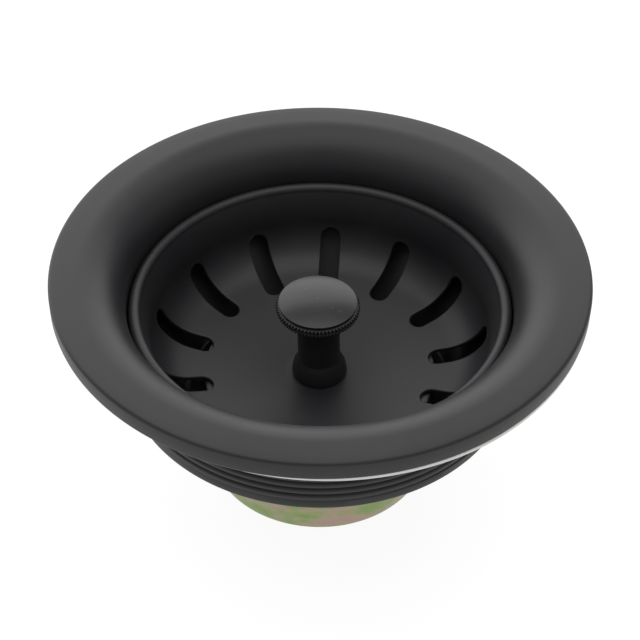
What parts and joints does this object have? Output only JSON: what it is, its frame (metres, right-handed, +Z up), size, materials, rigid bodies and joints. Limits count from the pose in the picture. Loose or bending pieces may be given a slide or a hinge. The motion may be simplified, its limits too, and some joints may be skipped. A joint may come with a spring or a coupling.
{
  "type": "kitchen sink basket strainer",
  "caption": "Flanged sink drain with a threaded neck, a lift-out perforated basket with a knob and stopper, and clamping nuts below.",
  "frame": {"origin": "on the drain's centre line, at the bottom face of the coupling nut", "axes": "+Z up along the drain's centre line, out of the sink; +X to the right and +Y away from a person at the sink"},
  "size_m": [0.1142, 0.1142, 0.0562],
  "materials": {
    "black_coat": "satin matte black coating",
    "chromate": "yellow iridescent zinc chromate",
    "steel": "plain stainless steel",
    "rubber": "matte black rubber",
    "foam": "white closed-cell foam",
    "fibre": "pressed brown fibre board",
    "nylon": "natural nylon"
  },
  "bodies": {
    "drain": {"strainer_body": "black_coat", "outlet_spud": "black_coat", "spud_gasket": "fibre", "spud_nut": "chromate", "crossbar": "steel", "hub_socket": "steel", "clip_spring": "steel", "flange_seal": "foam"},
    "clamp_rings": {"rubber_gasket": "rubber", "friction_ring": "fibre"},
    "locknut": {"locknut": "chromate"},
    "tail_washer": {"tailpiece_washer": "nylon"},
    "coupling_nut": {"coupling_nut": "chromate"},
    "stopper": {"stopper_seal": "rubber", "stopper_plate": "steel", "stem_nut": "steel", "stem": "steel"},
    "basket": {"basket_shell": "black_coat", "basket_post": "black_coat", "knob_ring": "black_coat", "knob_cap": "black_coat", "floor_washer": "steel"}
  },
  "joints": [
    {"name": "basket_lift", "type": "slide", "parent": "drain", "child": "stopper", "axis": [0, 0, 1], "range_m": [0, 0.056]},
    {"name": "basket_turn", "type": "hinge", "parent": "stopper", "child": "basket", "pos_m": [0, 0, 0.0247], "axis": [0, 0, 1], "continuous": true},
    {"name": "locknut_travel", "type": "slide", "parent": "drain", "child": "clamp_rings", "axis": [0, 0, -1], "range_m": [-0.0017, 0.0148]},
    {"name": "locknut_turn", "type": "hinge", "parent": "clamp_rings", "child": "locknut", "pos_m": [0, 0, 0.045], "axis": [0, 0, -1], "range_deg": [-340, 2940]},
    {"name": "coupling_travel", "type": "slide", "parent": "drain", "child": "tail_washer", "axis": [0, 0, -1], "range_m": [0, 0.0084]},
    {"name": "coupling_turn", "type": "hinge", "parent": "tail_washer", "child": "coupling_nut", "pos_m": [0, 0, 0.0062], "axis": [0, 0, -1], "range_deg": [0, 1370]}
  ],
  "couplings": [
    {"joint": "locknut_turn", "follows": "locknut_travel", "rad_per_m": 3463.2},
    {"joint": "coupling_turn", "follows": "coupling_travel", "rad_per_m": 2844.7}
  ]
}
